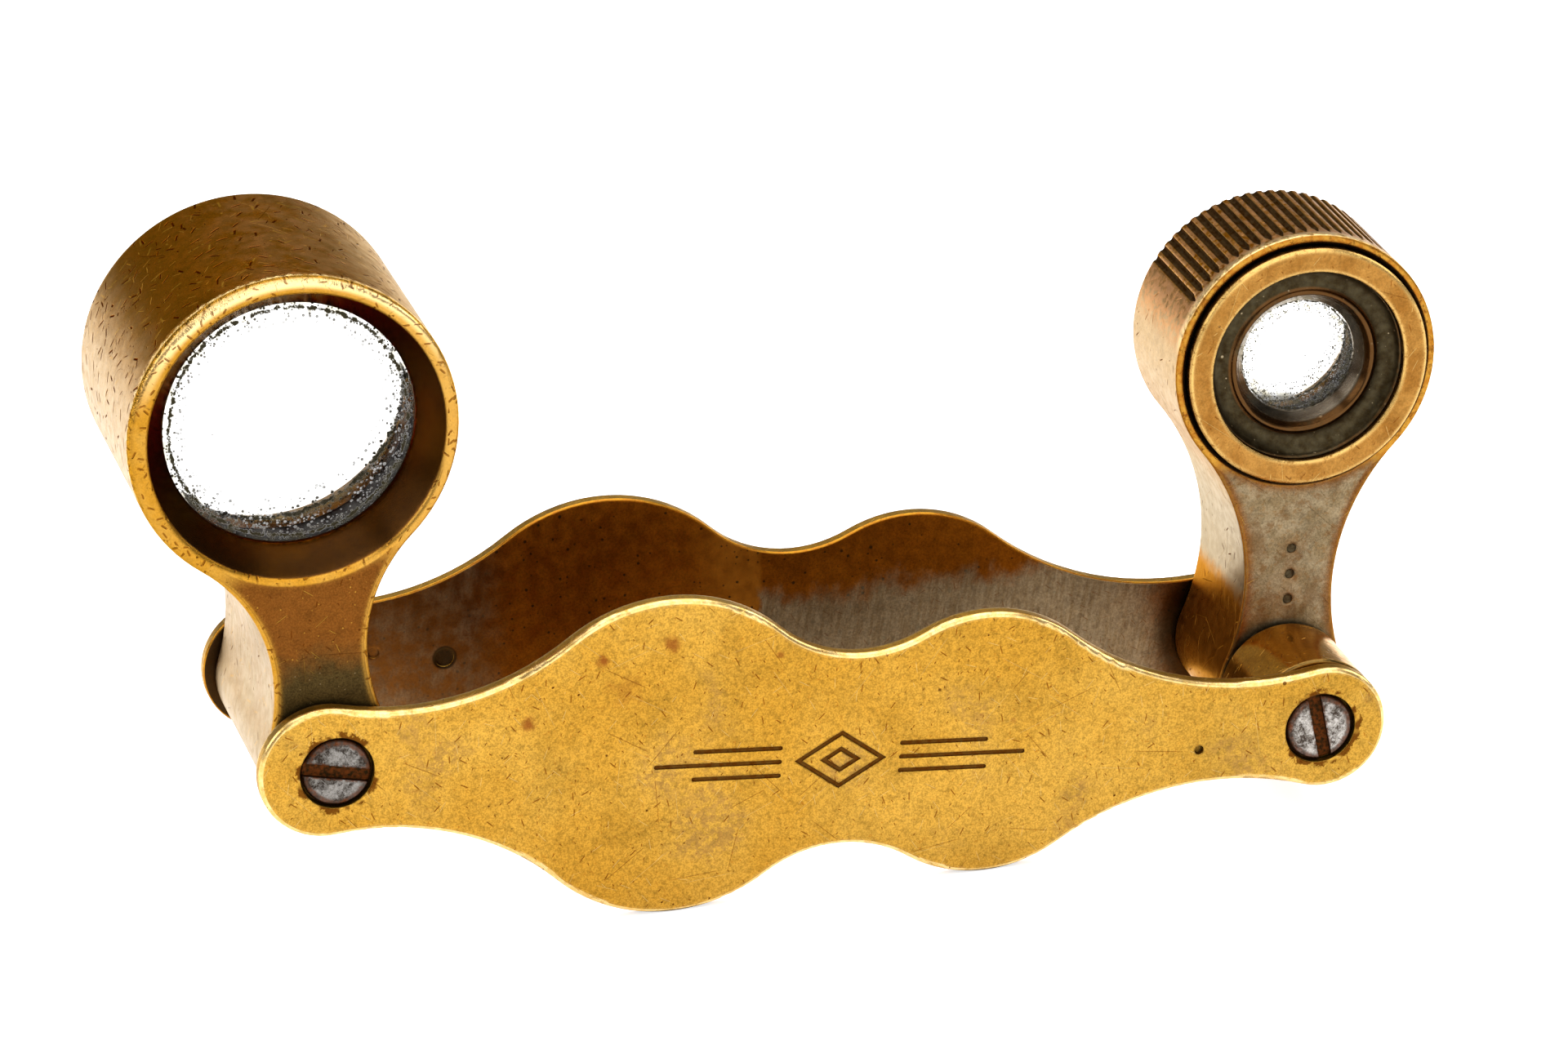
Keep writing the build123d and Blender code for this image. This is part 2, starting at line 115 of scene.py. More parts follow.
# Stains on the plates, as (x, z, size, strength), in millimetres.
FRONT_STAINS = (
    (-9.5, 17.7, 0.85, 0.75),
    (-13.7, 17.1, 0.7, 0.85),
    (-18.4, 13.6, 0.8, 0.8),
    (-12.4, 15.0, 1.6, 0.3),
    (11.9, 9.9, 0.4, 0.4),
    (-2.7, 16.1, 0.35, 0.6),
)
REAR_STAINS = ((14.0, 12.0, 0.9, 0.5), (-16.0, 15.0, 1.2, 0.5), (-4.0, 4.0, 0.8, 0.4))

# Where the plates' pit, dimple and ornament are, as x and z in millimetres. The ornament has its half width
# and half height too.
DRILLED_PIT = (23.78, 6.35)
REAR_DIMPLE = (-19.7, 11.2)
ORNAMENT = (0.94, 8.75, 12.4, 3.1)

# The slant of the streaks in the grey smear inside the case.
SMEAR_SLANT = (0, math.radians(10), 0)


class Shade:
    """A material, and short calls that add its nodes. Every length is in millimetres."""

    def __init__(self, name):
        self.material = bpy.data.materials.new(name)
        self.material.use_nodes = True
        self.tree = self.material.node_tree
        self.tree.nodes.clear()
        coordinates = self.add("ShaderNodeTexCoord")
        self.normal = coordinates.outputs["Normal"]
        self.place = self.vector("SCALE", coordinates.outputs["Object"], scale=1 / MM)
        self.x, self.y, self.z = self.parts(self.place)
        self.facing = self.parts(self.normal)[1]

    def add(self, kind, **settings):
        """A new node with these settings."""
        node = self.tree.nodes.new(kind)
        for name, value in settings.items():
            setattr(node, name, value)
        return node

    def put(self, socket, value):
        """Links a socket to the input, or writes a number or colour in it."""
        if isinstance(value, bpy.types.NodeSocket):
            self.tree.links.new(value, socket)
        elif socket.type == "RGBA":
            socket.default_value = (*value, 1.0)
        else:
            socket.default_value = value

    def maths(self, operation, first, second=0.0):
        """One Math node."""
        node = self.add("ShaderNodeMath", operation=operation)
        self.put(node.inputs[0], first)
        self.put(node.inputs[1], second)
        return node.outputs[0]

    def vector(self, operation, first, second=None, scale=None, number=False):
        """One Vector Math node."""
        node = self.add("ShaderNodeVectorMath", operation=operation)
        self.put(node.inputs[0], first)
        if second is not None:
            self.put(node.inputs[1], second)
        if scale is not None:
            node.inputs["Scale"].default_value = scale
        return node.outputs["Value" if number else "Vector"]

    def parts(self, vector):
        """The three numbers of a vector or colour."""
        node = self.add("ShaderNodeSeparateXYZ")
        self.put(node.inputs[0], vector)
        return node.outputs[0], node.outputs[1], node.outputs[2]

    def smooth(self, value, low, high):
        """0 at low and before, 1 at high and past it, with soft ends."""
        node = self.add("ShaderNodeMapRange", interpolation_type="SMOOTHSTEP")
        self.put(node.inputs["Value"], value)
        node.inputs["From Min"].default_value = low
        node.inputs["From Max"].default_value = high
        return node.outputs[0]

    def both(self, *masks):
        """Where every mask is."""
        result = masks[0]
        for mask in masks[1:]:
            result = self.maths("MULTIPLY", result, mask)
        return result

    def either(self, *masks):
        """Where any mask is."""
        result = masks[0]
        for mask in masks[1:]:
            result = self.maths("MAXIMUM", result, mask)
        return result

    def outside(self, mask):
        """Where the mask isn't."""
        return self.maths("SUBTRACT", 1.0, mask)

    def some(self, mask, share):
        """The mask made weaker."""
        return self.maths("MULTIPLY", mask, share)

    def colours(self, amount, first, second):
        """From the first colour to the second."""
        node = self.add("ShaderNodeMix", data_type="RGBA")
        self.put(node.inputs[0], amount)
        self.put(node.inputs[6], first)
        self.put(node.inputs[7], second)
        return node.outputs[2]

    def darker(self, amount, colour, share):
        """The colour, down to this share of it."""
        node = self.add("ShaderNodeMix", data_type="RGBA", blend_type="MULTIPLY")
        self.put(node.inputs[0], amount)
        self.put(node.inputs[6], colour)
        self.put(node.inputs[7], (share, share, share))
        return node.outputs[2]

    def numbers(self, amount, first, second):
        """From the first number to the second."""
        node = self.add("ShaderNodeMix", data_type="FLOAT")
        self.put(node.inputs[0], amount)
        self.put(node.inputs[2], first)
        self.put(node.inputs[3], second)
        return node.outputs[0]

    def noise(self, size, detail=4.0, rough=0.55, stretch=(1, 1, 1), turn=(0, 0, 0)):
        """Cloudy noise with features of about this size, longer along the stretched axis."""
        mapping = self.add("ShaderNodeMapping", vector_type="TEXTURE")
        self.put(mapping.inputs["Vector"], self.place)
        mapping.inputs["Rotation"].default_value = turn
        mapping.inputs["Scale"].default_value = stretch
        node = self.add("ShaderNodeTexNoise")
        self.put(node.inputs["Vector"], mapping.outputs[0])
        node.inputs["Scale"].default_value = 1 / size
        node.inputs["Detail"].default_value = detail
        node.inputs["Roughness"].default_value = rough
        return node.outputs[0]

    def cells(self, spacing):
        """Cells of about this spacing: the offset from a cell's middle, and its three chances."""
        node = self.add("ShaderNodeTexVoronoi")
        self.put(node.inputs["Vector"], self.place)
        node.inputs["Scale"].default_value = 1 / spacing
        offset = self.vector("SUBTRACT", self.place, node.outputs["Position"])
        return offset, node.outputs["Color"]

    def specks(self, spacing, size, share):
        """Small round pits, in this share of the cells."""
        offset, chance = self.cells(spacing)
        first, _, third = self.parts(chance)
        reach = self.maths("MULTIPLY", first, size)
        gap = self.maths("SUBTRACT", self.vector("LENGTH", offset, number=True), reach)
        spot = self.smooth(gap, size * 0.25, -size * 0.25)
        return self.both(spot, self.smooth(third, 1 - share, 1 - share + 0.02))

    def dashes(self, spacing, width, length, share):
        """Straight scratches at any angle in the surface, in this share of the cells."""
        offset, chance = self.cells(spacing)
        spin = self.vector("SUBTRACT", chance, (0.5, 0.5, 0.5))
        across = self.vector("NORMALIZE", self.vector("CROSS_PRODUCT", spin, self.normal))
        along = self.vector("CROSS_PRODUCT", across, self.normal)
        aside = self.maths("ABSOLUTE", self.vector("DOT_PRODUCT", offset, across, number=True))
        ahead = self.maths("ABSOLUTE", self.vector("DOT_PRODUCT", offset, along, number=True))
        line = self.smooth(aside, width, width * 0.3)
        ends = self.smooth(ahead, length, length * 0.5)
        kept = self.smooth(self.parts(chance)[2], 1 - share, 1 - share + 0.02)
        return self.both(line, ends, kept)

    def edges(self, width, high=0.12):
        """The corners of the metal, this far in from each edge."""
        rounded = self.add("ShaderNodeBevel", samples=8)
        rounded.inputs["Radius"].default_value = width * MM
        plain = self.add("ShaderNodeNewGeometry").outputs["Normal"]
        match = self.vector("DOT_PRODUCT", rounded.outputs[0], plain, number=True)
        return self.smooth(match, 0.995, 1 - high)

    def dirt_and_shade_in_crevices(self, reach, open_share=0.85, shut_share=0.35):
        """Corners and grooves, where dirt collects and where painted shade darkens them, found by ambient
        occlusion.
        """
        node = self.add("ShaderNodeAmbientOcclusion", samples=8)
        node.inputs["Distance"].default_value = reach * MM
        return self.smooth(node.outputs["AO"], open_share, shut_share)

    def radius(self, axis):
        """Distance from a front-to-back axis through this (x, z)."""
        aside = self.maths("SUBTRACT", self.x, axis[0])
        above = self.maths("SUBTRACT", self.z, axis[1])
        return self.maths("SQRT", self.maths("ADD", self.both(aside, aside), self.both(above, above)))

    def fillet(self):
        """Rounded and chamfered edges between the faces and the walls."""
        turned = self.maths("ABSOLUTE", self.facing)
        return self.both(self.smooth(turned, 0.12, 0.4), self.smooth(turned, 0.995, 0.95))

    def finish(self, colour, roughness, height, tint=WARM, rounding=0.16):
        """The metal's surface, its corners softly rounded. The height and the rounding are in millimetres."""
        rounded = self.add("ShaderNodeBevel", samples=8)
        rounded.inputs["Radius"].default_value = rounding * MM
        bump = self.add("ShaderNodeBump")
        self.put(bump.inputs["Normal"], rounded.outputs[0])
        bump.inputs["Strength"].default_value = 1.0
        bump.inputs["Distance"].default_value = MM
        self.put(bump.inputs["Height"], height)
        surface = self.add("ShaderNodeBsdfPrincipled")
        self.put(surface.inputs["Base Color"], colour)
        self.put(surface.inputs["Roughness"], roughness)
        self.put(surface.inputs["Normal"], bump.outputs[0])
        surface.inputs["Metallic"].default_value = 1.0
        self.put(surface.inputs["Specular Tint"], tint)
        output = self.add("ShaderNodeOutputMaterial")
        self.put(output.inputs["Surface"], surface.outputs[0])
        return self.material


def middle(node):
    """The (x, z) in millimetres of a round node's axis."""
    low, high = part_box(node)
    return (low.x + high.x) / 2 / MM, (low.z + high.z) / 2 / MM


def depths(node):
    """The front and rear of a node, as y in millimetres."""
    low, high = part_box(node)
    return low.y / MM, high.y / MM


def stain(s, x, z, size):
    """A ragged spot at this place on a plate."""
    ragged = s.maths("MULTIPLY", s.noise(0.7, 5.0, 0.65), size * 1.6)
    reach = s.maths("ADD", s.radius((x, z)), ragged)
    return s.smooth(reach, size * 1.7, size * 0.9)


def scratches(s):
    """Masks of the dark scratches and of the bright ones."""
    dark = s.either(
        s.dashes(1.5, 0.05, 0.34, 0.35),
        s.dashes(0.8, 0.04, 0.12, 0.28),
        s.some(s.dashes(4.2, 0.032, 2.0, 0.5), 0.7),
    )
    bright = s.either(
        s.dashes(1.3, 0.03, 0.45, 0.4),
        s.some(s.dashes(3.7, 0.024, 1.9, 0.5), 0.8),
    )
    return dark, bright


def cloudy(s, size, low=0.35, high=0.65):
    """Soft patches of about this size."""
    return s.smooth(s.noise(size, 6.0, 0.6), low, high)


def grain(s, colour, amount):
    """Fine uneven tone, as on metal that has been handled and polished for years."""
    colour = s.darker(s.smooth(s.noise(0.12, 3.0, 0.7), 0.4, 0.62), colour, 1 - amount)
    colour = s.darker(s.smooth(s.noise(0.4, 5.0, 0.7), 0.46, 0.64), colour, 1 - amount * 0.7)
    return s.darker(s.smooth(s.noise(4.0, 4.0, 0.6), 0.45, 0.7), colour, 1 - amount * 0.5)


def relief(s, lumps, dark, bright, pits):
    """The height of a worn surface: soft dents, fine roughness, scratches and pits."""
    height = s.maths("ADD", s.some(s.noise(0.3, 5.0, 0.6), 0.005), s.some(s.noise(3.2, 2.0), lumps))
    height = s.maths("SUBTRACT", height, s.some(s.either(dark, bright), 0.014))
    return s.maths("SUBTRACT", height, s.some(pits, 0.03))


def outer_gold(s):
    """The golden, handled outer face of a plate."""
    gold = s.colours(cloudy(s, 11.0), GOLD_DEEP, GOLD_PALE)
    gold = s.colours(0.5, gold, GOLD)
    gold = s.darker(s.smooth(s.x, 5.0, 30.0), gold, 0.92)
    gold = grain(s, gold, 0.34)
    brown = s.smooth(s.noise(0.25, 5.0, 0.75), 0.6, 0.68)
    gold = s.colours(s.some(brown, 0.7), gold, PATINA)
    smudge = s.smooth(s.noise(5.5, 3.0, 0.5), 0.56, 0.7)
    broken = s.smooth(s.noise(0.5, 6.0, 0.75), 0.42, 0.56)
    return s.colours(s.some(s.both(smudge, broken), 0.5), gold, SMUDGE)


def nearest(s, axes):
    """Distance from the nearer of the two hinge axes."""
    return s.maths("MINIMUM", s.radius(axes[0]), s.radius(axes[1]))


def pitted_brown(s):
    """Pitted brown oxide, paler in a band across the middle and duller at the large end."""
    brown = s.colours(cloudy(s, 7.0), PATINA_INNER, PATINA)
    brown = grain(s, s.colours(0.2, brown, PATINA_INNER), 0.3)
    band = s.both(s.smooth(s.x, -4.5, -1.0), s.smooth(s.x, 0.8, 0.4))
    brown = s.colours(s.some(band, 0.5), brown, PATINA_LIGHT)
    pits = s.either(s.specks(0.45, 0.11, 0.6), s.specks(1.3, 0.14, 0.4))
    brown = s.colours(s.some(pits, 0.85), brown, GRIME_AND_SHADE)
    return s.colours(s.some(s.smooth(s.x, -15.0, -18.0), 0.6), brown, PATINA_NECK)


def smeared(s):
    """Where grey covers the brown: a ragged smear over the small end, and patches at the large one."""
    teeth = s.noise(0.9, 6.0, 0.7, stretch=(1, 1, 2), turn=SMEAR_SLANT)
    drift = s.noise(3.0, 5.0, 0.6)
    near_end = s.smooth(s.maths("ADD", s.x, s.some(teeth, 2.0)), 1.2, 1.5)
    far_end = s.smooth(s.maths("ADD", s.x, s.some(drift, 5.0)), 31.0, 28.0)
    top = s.maths("ADD", s.z, s.some(drift, 4.0))
    lower = s.smooth(s.maths("ADD", top, s.some(teeth, 3.0)), 17.0, 15.0)
    patches = s.both(s.smooth(s.x, -15.0, -18.0), s.smooth(s.noise(1.6, 6.0, 0.7), 0.4, 0.66))
    return s.either(s.both(near_end, far_end, lower), s.some(patches, 0.35))


def streaky_grey(s):
    """Grey tarnish in streaks, with short dark scratches and specks in it."""
    streaks = s.noise(0.22, 5.0, 0.65, stretch=(1, 1, 8), turn=SMEAR_SLANT)
    grey = grain(s, s.colours(s.smooth(streaks, 0.3, 0.7), TARNISH_DARK, TARNISH_AND_SHEEN), 0.3)
    grey = s.colours(s.some(s.dashes(0.8, 0.035, 0.3, 0.4), 0.6), grey, UMBER)
    return s.colours(s.some(s.specks(0.5, 0.05, 0.4), 0.6), grey, UMBER)


def inner_patina(s, axes, pit):
    """The dark face of a plate inside the case, with painted shade round the hinges, between the plate and
    the arms, and in the pit.
    """
    colour = s.colours(s.some(smeared(s), 0.85), pitted_brown(s), streaky_grey(s))
    # Painted shade where the arms stand against the plate by the hinges, and in the pit.
    hinge_and_pit_shade = s.either(s.smooth(nearest(s, axes), 6.0, 4.5), s.smooth(s.radius(pit), 0.85, 0.7))
    return s.colours(s.some(hinge_and_pit_shade, 0.85), colour, GRIME_AND_SHADE)


def scuffs(s, axes):
    """Ragged slips of the screwdriver round the screws."""
    reach = s.maths("ADD", nearest(s, axes), s.some(s.noise(0.5, 6.0, 0.7), 1.7))
    return s.both(s.smooth(reach, 3.5, 3.35), s.smooth(s.noise(1.6, 2.0), 0.4, 0.48))


def engraved(s, front, region):
    """The floors of what is engraved inside (x, z, half width, half height), and their surroundings."""
    x, z, half_width, half_height = region
    across = s.maths("ABSOLUTE", s.maths("SUBTRACT", s.x, x))
    upward = s.maths("ABSOLUTE", s.maths("SUBTRACT", s.z, z))
    near = s.both(
        s.smooth(across, half_width, half_width * 0.97),
        s.smooth(upward, half_height, half_height * 0.97),
    )
    sunk = s.both(s.smooth(s.y, front + 0.01, front + 0.05), s.smooth(s.y, front + 0.5, front + 0.4))
    return s.both(near, sunk), near


def plate_marks(s, inner):
    """Masks of the dark scratches, the bright ones and the pits, which the inner face has none of."""
    dark, bright = scratches(s)
    pits = s.either(s.specks(0.8, 0.07, 0.5), s.specks(2.7, 0.14, 0.45))
    return [s.both(mark, s.outside(inner)) for mark in (dark, bright, pits)]


def stained(s, colour, outer, stains):
    """The colour with these (x, z, size, strength) stains on the outer face."""
    for x, z, size, strength in stains:
        colour = s.colours(s.some(s.both(stain(s, x, z, size), outer), strength), colour, STAIN)
    return colour


def plate_wear(s, inner, axes, pit):
    """The bright worn edges, apart from those round the screws and the pit."""
    chipped = s.smooth(s.noise(0.6, 5.0, 0.6), 0.22, 0.45)
    corner = s.either(s.fillet(), s.both(s.edges(0.5, 0.06), s.outside(inner)))
    return s.both(corner, chipped, s.smooth(nearest(s, axes), 2.9, 3.1), s.smooth(s.radius(pit), 0.9, 1.1))


def plate_brass(name, outward, stains, axes, pit, ornament=None):
    """A side plate: golden outside, dark inside, bright along its worn edges, with or without ornament."""
    s = Shade(name)
    outer = s.smooth(s.maths("MULTIPLY", s.facing, outward), 0.3, 0.8)
    inner = s.smooth(s.maths("MULTIPLY", s.facing, -outward), 0.3, 0.8)
    dark, bright, pits = plate_marks(s, inner)
    colour = s.colours(inner, outer_gold(s), inner_patina(s, axes, pit))
    colour = s.colours(s.some(bright, 0.5), colour, GOLD_WORN)
    colour = s.colours(s.some(dark, 0.85), colour, PATINA_DARK)
    colour = stained(s, colour, outer, stains)
    worn = plate_wear(s, inner, axes, pit)
    gleam = (PATINA_LIGHT, GOLD_DEEP)
    if ornament:
        gleam = (GOLD_WORN, GOLD_CHIPPED_AND_HIGHLIGHT)
        colour = s.colours(s.some(s.both(scuffs(s, axes), outer), 0.9), colour, UMBER)
        cut, near = engraved(s, depths("front_plate")[0], ornament)
        worn = s.both(worn, s.outside(near))
    colour = s.colours(s.some(worn, 0.85), colour, s.colours(cloudy(s, 0.5), *gleam))
    colour = s.colours(s.some(pits, 0.8), colour, UMBER)
    # Dirt and painted shade in the corners and grooves.
    dirt = s.dirt_and_shade_in_crevices(0.4, 0.7, 0.4)
    colour = s.colours(s.some(dirt, 0.85), colour, GRIME_AND_SHADE)
    if ornament:
        colour = s.colours(s.some(cut, 0.95), colour, s.colours(cloudy(s, 0.4), ENGRAVED, UMBER))
        dirt = s.either(dirt, cut)
    roughness = s.numbers(worn, s.numbers(cloudy(s, 0.8), 0.34, 0.45), 0.25)
    roughness = s.numbers(s.either(dirt, pits), roughness, 0.6)
    tint = s.colours(inner, YELLOW, WARM)
    return s.finish(colour, roughness, relief(s, 0.03, dark, bright, pits), tint, 0.22)


def oxide(s, size):
    """Brown oxide on brass, painted pale on the walls at the sides as the sheen they reflect, and a mask of
    those walls.
    """
    brown = s.colours(cloudy(s, size), PATINA_DARK, PATINA)
    brown = s.colours(0.4, brown, PATINA)
    brown = s.colours(s.some(s.smooth(s.noise(0.13, 4.0, 0.7), 0.5, 0.7), 0.5), brown, PATINA_LIGHT)
    brown = s.colours(s.some(s.smooth(s.maths("ABSOLUTE", s.facing), 0.75, 0.95), 0.6), brown, PATINA_NECK)
    brown = grain(s, brown, 0.25)
    upright = s.maths("ABSOLUTE", s.parts(s.normal)[2])
    ragged = s.maths("ADD", upright, s.some(s.noise(1.0, 6.0, 0.7), 0.3))
    # Painted sheen: the side walls are painted pale where they reflect the bright surroundings.
    wall_sheen = s.both(s.smooth(s.maths("ABSOLUTE", s.facing), 0.5, 0.2), s.smooth(ragged, 0.88, 0.3))
    return s.colours(s.some(wall_sheen, 0.85), brown, grain(s, PATINA_SHEEN, 0.14)), wall_sheen


def large_arm_places(s):
    """The masks and distances that the large arm's finish is laid out by."""
    at = SimpleNamespace()
    at.lens_x, at.lens_z = middle("large_lens_cell")
    at.front = depths("large_arm")[0]
    at.from_lens = s.radius((at.lens_x, at.lens_z))
    at.from_hinge = s.radius(middle("large_pivot_post"))
    at.head = s.smooth(at.from_hinge, 12.6, 14.8)
    at.face = s.smooth(s.facing, -0.75, -0.95)
    at.head_face = s.both(s.smooth(at.from_lens, LARGE_MOUTH + 1.3, LARGE_MOUTH + 0.7), at.face, at.head)
    at.wall = s.smooth(s.maths("ABSOLUTE", s.facing), 0.5, 0.2)
    at.outside_bore = s.smooth(at.from_lens, LARGE_MOUTH + 0.3, LARGE_MOUTH + 0.5)
    past_mouth = s.smooth(s.y, at.front + 0.12, at.front + 0.3)
    at.bore = s.both(s.smooth(at.from_lens, LARGE_MOUTH + 0.05, LARGE_MOUTH - 0.1), past_mouth)
    at.open = s.outside(at.bore)
    at.corner = s.either(s.fillet(), s.edges(0.85, 0.05))
    at.front_corner = s.both(at.corner, s.smooth(s.y, at.front + 1.0, at.front + 0.4))
    at.ragged_y = s.maths("ADD", s.y, s.some(s.noise(0.5, 5.0, 0.65), 1.4))
    return at


def large_arm_marks(s, at):
    """Masks of the dark scratches, the bright ones, the pits with the head's dents, and the rim's nicks."""
    dark, bright = scratches(s)
    dents = s.either(s.dashes(1.2, 0.1, 0.45, 0.5), s.specks(1.1, 0.12, 0.45))
    dents = s.both(dents, at.wall, s.smooth(at.from_hinge, 11.0, 15.0))
    pits = s.either(s.specks(0.8, 0.07, 0.5), s.specks(2.2, 0.15, 0.5), dents)
    nicks = s.both(s.dashes(0.65, 0.08, 0.28, 0.55), s.either(at.front_corner, at.head_face))
    return [s.both(mark, at.open) for mark in (dark, bright, pits, nicks)]


def large_arm_patches(s, at, colour):
    """The oxide's colour with hazy patches on the head's wall, and pale grey patches of painted sheen towards
    its right side.
    """
    wall = s.both(at.wall, at.open)
    hazy = s.smooth(s.noise(1.5, 6.0, 0.7), 0.36, 0.6)
    hazy = s.both(wall, hazy, s.smooth(s.x, at.lens_x - 6.0, at.lens_x + 5.0))
    colour = s.colours(s.some(hazy, 0.7), colour, HAZE)
    # Painted sheen: pale grey patches on the wall towards the right, where light from that side is reflected.
    right_sheen = s.smooth(s.noise(0.9, 6.0, 0.7), 0.3, 0.6)
    right_sheen = s.both(wall, right_sheen, s.smooth(s.x, at.lens_x + 3.0, at.lens_x + 9.0))
    return s.colours(s.some(right_sheen, 0.7), colour, TARNISH_AND_SHEEN)


def large_arm_glints(s, at):
    """Light marks: fine grains of gold on the face, and on the walls flecks and lines painted as glints off
    the edges of dents.
    """
    flecks = s.both(s.either(s.specks(0.6, 0.09, 0.4), s.dashes(1.6, 0.09, 0.5, 0.5)), at.wall, at.open)
    return s.either(s.both(s.specks(0.28, 0.05, 0.35), at.face), flecks)


def large_arm_tarnish(s, at):
    """Where the face by the hinge is tarnished green, and the colour there."""
    ragged = s.maths("ADD", at.from_hinge, s.some(s.noise(1.5, 6.0, 0.65), 3.0))
    green = s.colours(s.some(s.specks(0.3, 0.05, 0.5), 0.6), grain(s, TARNISH_GREEN, 0.4), TARNISH_DARK)
    return s.both(s.smooth(ragged, 9.8, 7.0), at.face), green


def large_rim_gold(s, at):
    """The colour of the worn gold round the large head's mouth, paler to its right."""
    gold = grain(s, s.colours(cloudy(s, 2.0), GOLD_DEEP, GOLD_RIM), 0.16)
    return s.colours(s.some(s.smooth(s.x, at.lens_x, at.lens_x + 9.0), 0.2), gold, GOLD_WORN)


def large_rim_wear(s, at):
    """Masks of the worn gold, the rim's outer edge, and a painted highlight on the top of its face."""
    mouth = s.smooth(at.from_lens, LARGE_MOUTH + 0.4, LARGE_MOUTH + 0.25)
    mouth = s.both(mouth, s.smooth(s.facing, -0.3, -0.6))
    gold = s.both(s.either(at.head_face, mouth, at.front_corner, s.some(at.corner, 0.35)), at.open)
    edge = s.smooth(at.ragged_y, at.front + 1.15, at.front + 0.95)
    edge = s.both(at.wall, edge, at.outside_bore, at.head)
    # Painted highlight on the upper part of the rim's face.
    crown_highlight = s.smooth(s.z, at.lens_z + 2.0, at.lens_z + 8.0)
    crown_highlight = s.both(at.head_face, crown_highlight, s.smooth(at.from_lens, LARGE_MOUTH + 0.2, LARGE_MOUTH + 0.6))
    return gold, edge, crown_highlight


def large_bore(s, at, colour):
    """The colour with the smooth brown bore, and painted shade on its upper and left sides."""
    inward_x, _, inward_z = s.parts(s.normal)
    # Painted shade on the bore's upper and left sides, picked by which way the surface faces.
    bore_shade = s.both(at.bore, s.either(s.smooth(inward_z, 0.1, -0.4), s.smooth(inward_x, 0.45, 0.8)))
    brown = grain(s, s.colours(cloudy(s, 5.0), PATINA_NECK, PATINA_BORE), 0.15)
    return s.colours(s.some(bore_shade, 0.85), s.colours(at.bore, colour, brown), BLACKENED_AND_SHADE)


def large_arm_relief(s, at, dark, bright, pits, nicks):
    """The large arm's height: its marks, a rim that rounds off outwards, and a battered outer edge."""
    height = s.maths("SUBTRACT", relief(s, 0.02, dark, bright, pits), s.some(nicks, 0.03))
    upper = s.smooth(s.z, at.lens_z + 5.0, at.lens_z + 9.3)
    start = s.numbers(upper, LARGE_MOUTH + 0.6, LARGE_MOUTH + 0.25)
    aside = s.maths("MAXIMUM", s.maths("SUBTRACT", at.from_lens, start), 0.0)
    uneven = s.maths("ADD", s.noise(0.5, 3.0, 0.6), 0.5)
    dome = s.both(s.some(s.both(aside, aside), 0.75), uneven, s.smooth(s.facing, -0.2, -0.5), at.head)
    edge = s.smooth(at.ragged_y, at.front + 1.3, at.front + 0.9)
    battered = s.both(s.noise(0.45, 3.0, 0.6), edge, at.wall, at.head, at.outside_bore)
    return s.maths("ADD", s.maths("SUBTRACT", height, dome), s.some(battered, 0.24))


def large_arm_brass():
    """The large arm: brown oxide, a bright worn rim, a dark smooth bore and tarnish by the hinge."""
    s = Shade("large_arm_brass_old")
    at = large_arm_places(s)
    dark, bright, pits, nicks = large_arm_marks(s, at)
    colour, wall_sheen = oxide(s, 6.0)
    # Grey where the painted sheen lies on the walls near the hinge.
    colour = s.colours(s.both(wall_sheen, s.smooth(at.from_hinge, 13.0, 9.0), 0.5), colour, TARNISH_AND_SHEEN)
    colour = large_arm_patches(s, at, colour)
    # Bright scratches, grains of gold, and painted glints on the walls.
    colour = s.colours(s.some(s.either(bright, large_arm_glints(s, at)), 0.5), colour, GOLD)
    colour = s.colours(s.some(dark, 0.8), colour, UMBER)
    tarnish, green = large_arm_tarnish(s, at)
    colour = s.colours(s.some(tarnish, 0.9), colour, green)
    gold, edge, crown_highlight = large_rim_wear(s, at)
    chipped = s.smooth(s.noise(0.4, 6.0, 0.65), 0.26, 0.4)
    colour = s.colours(s.some(s.both(gold, chipped), 0.95), colour, large_rim_gold(s, at))
    # Chipped outer edge, and the painted highlight on the top of the rim.
    colour = s.colours(s.some(s.either(edge, crown_highlight), 0.9), colour, GOLD_CHIPPED_AND_HIGHLIGHT)
    colour = large_bore(s, at, colour)
    colour = s.colours(s.some(pits, 0.8), colour, UMBER)
    colour = s.colours(s.some(nicks, 0.8), colour, PATINA_DARK)
    # Dirt and painted shade in the corners and grooves.
    dirt = s.dirt_and_shade_in_crevices(0.8, 0.7, 0.3)
    colour = s.colours(s.some(dirt, 0.7), colour, GRIME_AND_SHADE)
    roughness = s.numbers(gold, s.numbers(cloudy(s, 0.7), 0.3, 0.4), 0.24)
    roughness = s.numbers(s.either(edge, at.bore), roughness, 0.24)
    roughness = s.numbers(s.either(dirt, tarnish), roughness, 0.55)
    tint = s.colours(s.either(at.bore, dark, pits), s.colours(wall_sheen, WARM, PALE), DIM)
    height = large_arm_relief(s, at, dark, bright, pits, nicks)
    return s.finish(colour, roughness, height, tint, 0.5)


